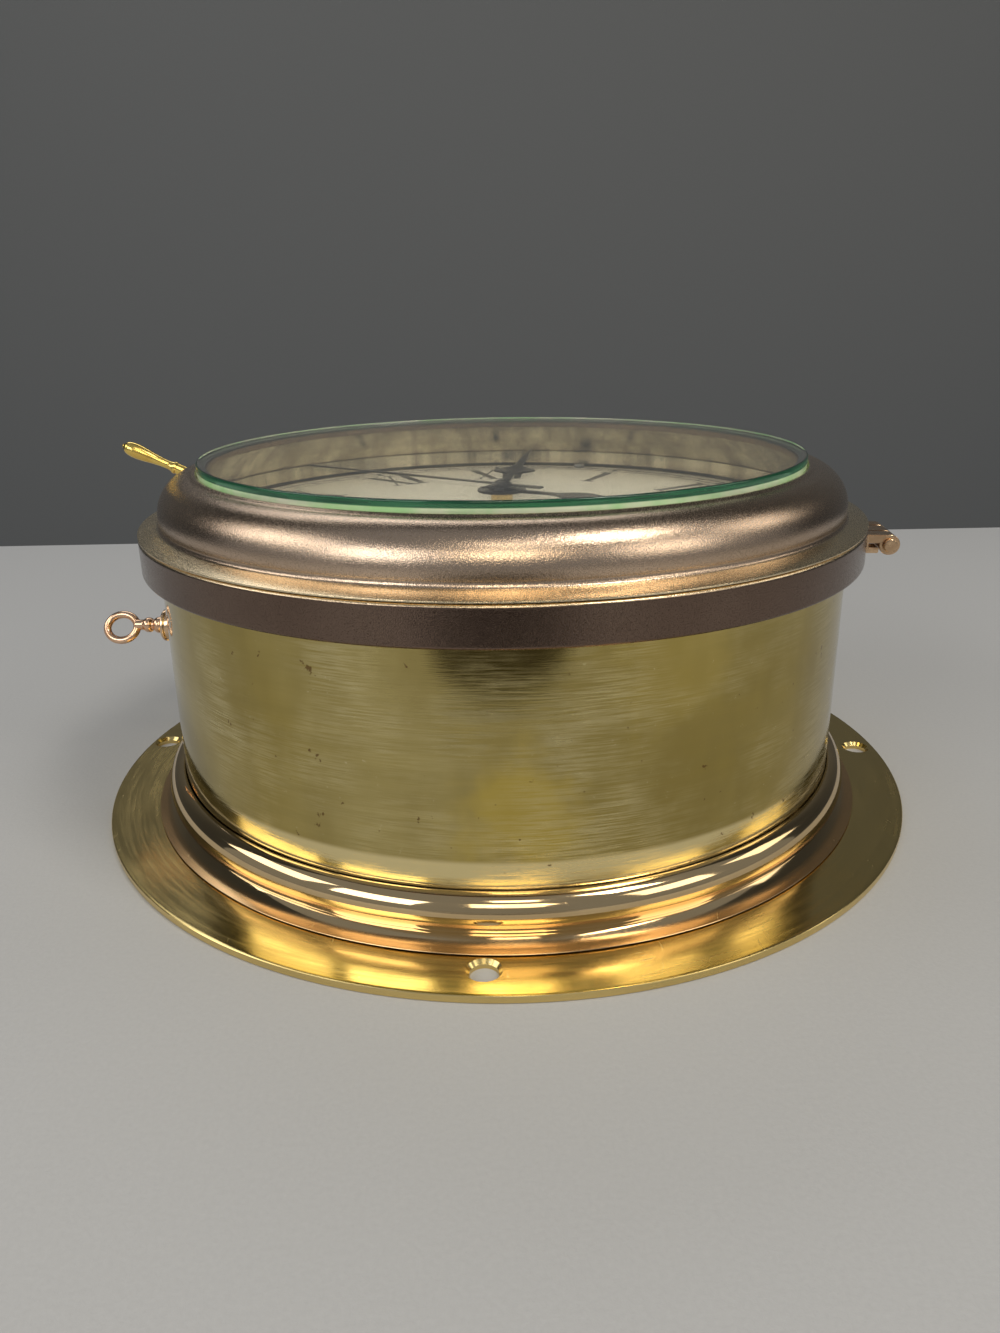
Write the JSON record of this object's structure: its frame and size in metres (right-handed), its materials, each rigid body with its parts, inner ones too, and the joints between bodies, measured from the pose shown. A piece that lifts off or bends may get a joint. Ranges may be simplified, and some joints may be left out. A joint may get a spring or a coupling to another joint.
{
  "type": "ships clock",
  "caption": "Round brass bulkhead clock on a screw flange, with a hinged glazed bezel, side lock and key, and a hand-wound lever movement.",
  "frame": {"origin": "centre of the case's back face", "axes": "+Z out of the wall through the glass, +Y towards twelve o'clock, +X towards three o'clock"},
  "size_m": [0.2518, 0.2452, 0.1052],
  "materials": {
    "flange_brass": "satin, scratched",
    "moulding_polish": "mirror polished",
    "drum_brass": "brushed round",
    "band_bronze": "glossy with fine pits",
    "bezel_bronze": "glossy with fine pits",
    "hinge_bronze": "worn",
    "lock_brass": "turned",
    "key_brass": "worn",
    "handle_brass": "polished",
    "ferrule_brass": "polished",
    "movement_brass": "satin",
    "steel": "satin",
    "silvered": "silvered",
    "dial_paint": "matt cream paint with black figures",
    "hand_black": "black",
    "plate_glass": "clear plate, slightly green",
    "seal_rubber": "matt"
  },
  "bodies": {
    "case": {"mounting_flange": "flange_brass", "back_plate": "flange_brass", "base_moulding": "moulding_polish", "case_drum": "drum_brass", "band_ring": "band_bronze", "dial_seat_ring": "drum_brass", "dial_plate": "dial_paint", "dial_ring": "silvered", "dial_screw_1": "steel", "dial_screw_2": "steel", "dial_screw_3": "steel", "winding_ferrule": "ferrule_brass", "lock_nozzle": "lock_brass", "lever_pivot_screw": "steel", "hinge_case_leaf_1": "hinge_bronze", "hinge_case_leaf_2": "hinge_bronze", "hinge_pin": "steel", "movement_back_plate": "movement_brass", "movement_front_plate": "movement_brass", "movement_pillar_1": "movement_brass", "movement_pillar_2": "movement_brass", "movement_pillar_3": "movement_brass", "movement_pillar_4": "movement_brass", "movement_post_1": "movement_brass", "movement_post_2": "movement_brass", "movement_post_3": "movement_brass", "movement_post_4": "movement_brass", "platform_bridge": "movement_brass", "click": "steel", "click_spring": "steel", "minute_wheel_post": "steel"},
    "bezel": {"bezel_shell": "bezel_bronze", "glass": "plate_glass", "glass_seal": "seal_rubber", "reflector_ring": "silvered", "bezel_handle": "handle_brass", "hinge_bezel_strap": "hinge_bronze", "bezel_keeper": "steel"},
    "key": {"lock_key": "key_brass", "lock_barrel": "lock_brass"},
    "lever": {"lock_lever": "steel"},
    "seconds": {"seconds_arbor": "movement_brass", "seconds_hand": "hand_black"},
    "minute": {"centre_wheel": "movement_brass", "cannon_pinion": "steel", "minute_hand": "hand_black"},
    "third": {"third_wheel": "movement_brass"},
    "barrel": {"barrel_drum": "movement_brass", "great_wheel": "movement_brass", "mainspring": "steel"},
    "minute_work": {"minute_wheel": "movement_brass"},
    "hour": {"hour_wheel": "movement_brass", "hour_hand": "hand_black"},
    "escape": {"escape_wheel": "movement_brass"},
    "pallets": {"pallet_lever": "steel"},
    "balance": {"balance_wheel": "movement_brass", "hairspring": "steel"},
    "winding": {"winding_arbor": "steel", "ratchet_wheel": "steel"}
  },
  "joints": [
    {"name": "bezel_hinge", "type": "hinge", "parent": "case", "child": "bezel", "pos_m": [0.1111, -0.01364, 0.0763], "axis": [0.1219, 0.9925, 0], "range_deg": [0, 110]},
    {"name": "key_turn", "type": "hinge", "parent": "case", "child": "key", "pos_m": [-0.1046, 0.00915, 0.0468], "axis": [-0.9962, 0.0872, 0], "range_deg": [0, 90]},
    {"name": "lever_swing", "type": "hinge", "parent": "case", "child": "lever", "pos_m": [-0.09519, 0.00833, 0.0598], "axis": [-0.9962, 0.0872, 0], "range_deg": [0, 13.2]},
    {"name": "seconds_turn", "type": "hinge", "parent": "case", "child": "seconds", "pos_m": [0, 0, 0.06], "axis": [0, 0, 1], "continuous": true},
    {"name": "minute_turn", "type": "hinge", "parent": "case", "child": "minute", "pos_m": [0, 0, 0.07], "axis": [0, 0, 1], "continuous": true},
    {"name": "third_turn", "type": "hinge", "parent": "case", "child": "third", "pos_m": [0.0102, 0.01767, 0.05], "axis": [0, 0, 1], "continuous": true},
    {"name": "barrel_turn", "type": "hinge", "parent": "case", "child": "barrel", "pos_m": [0, -0.035, 0.05], "axis": [0, 0, 1], "continuous": true},
    {"name": "minute_work_turn", "type": "hinge", "parent": "case", "child": "minute_work", "pos_m": [0, 0.02, 0.072], "axis": [0, 0, 1], "continuous": true},
    {"name": "hour_turn", "type": "hinge", "parent": "case", "child": "hour", "pos_m": [0, 0, 0.08], "axis": [0, 0, 1], "continuous": true},
    {"name": "escape_turn", "type": "hinge", "parent": "case", "child": "escape", "pos_m": [-0.01247, 0.0072, 0.04], "axis": [0, 0, 1], "continuous": true},
    {"name": "pallet_rock", "type": "hinge", "parent": "case", "child": "pallets", "pos_m": [-0.02078, 0.012, 0.04], "axis": [0, 0, 1], "range_deg": [-5, 5]},
    {"name": "balance_swing", "type": "hinge", "parent": "case", "child": "balance", "pos_m": [-0.03031, 0.0175, 0.045], "axis": [0, 0, 1], "range_deg": [-120, 120], "stiffness_Nm_per_rad": 0.00002},
    {"name": "winding_turn", "type": "hinge", "parent": "case", "child": "winding", "pos_m": [0, -0.035, 0.06], "axis": [0, 0, 1], "continuous": true}
  ],
  "couplings": [
    {"joint": "lever_swing", "follows": "key_turn", "ratio": 0.14638},
    {"joint": "minute_turn", "follows": "seconds_turn", "ratio": 0.016667},
    {"joint": "third_turn", "follows": "seconds_turn", "ratio": -0.125},
    {"joint": "barrel_turn", "follows": "seconds_turn", "ratio": -0.0027778},
    {"joint": "minute_work_turn", "follows": "seconds_turn", "ratio": -0.0055556},
    {"joint": "hour_turn", "follows": "seconds_turn", "ratio": 0.0013889},
    {"joint": "escape_turn", "follows": "seconds_turn", "ratio": -8}
  ]
}
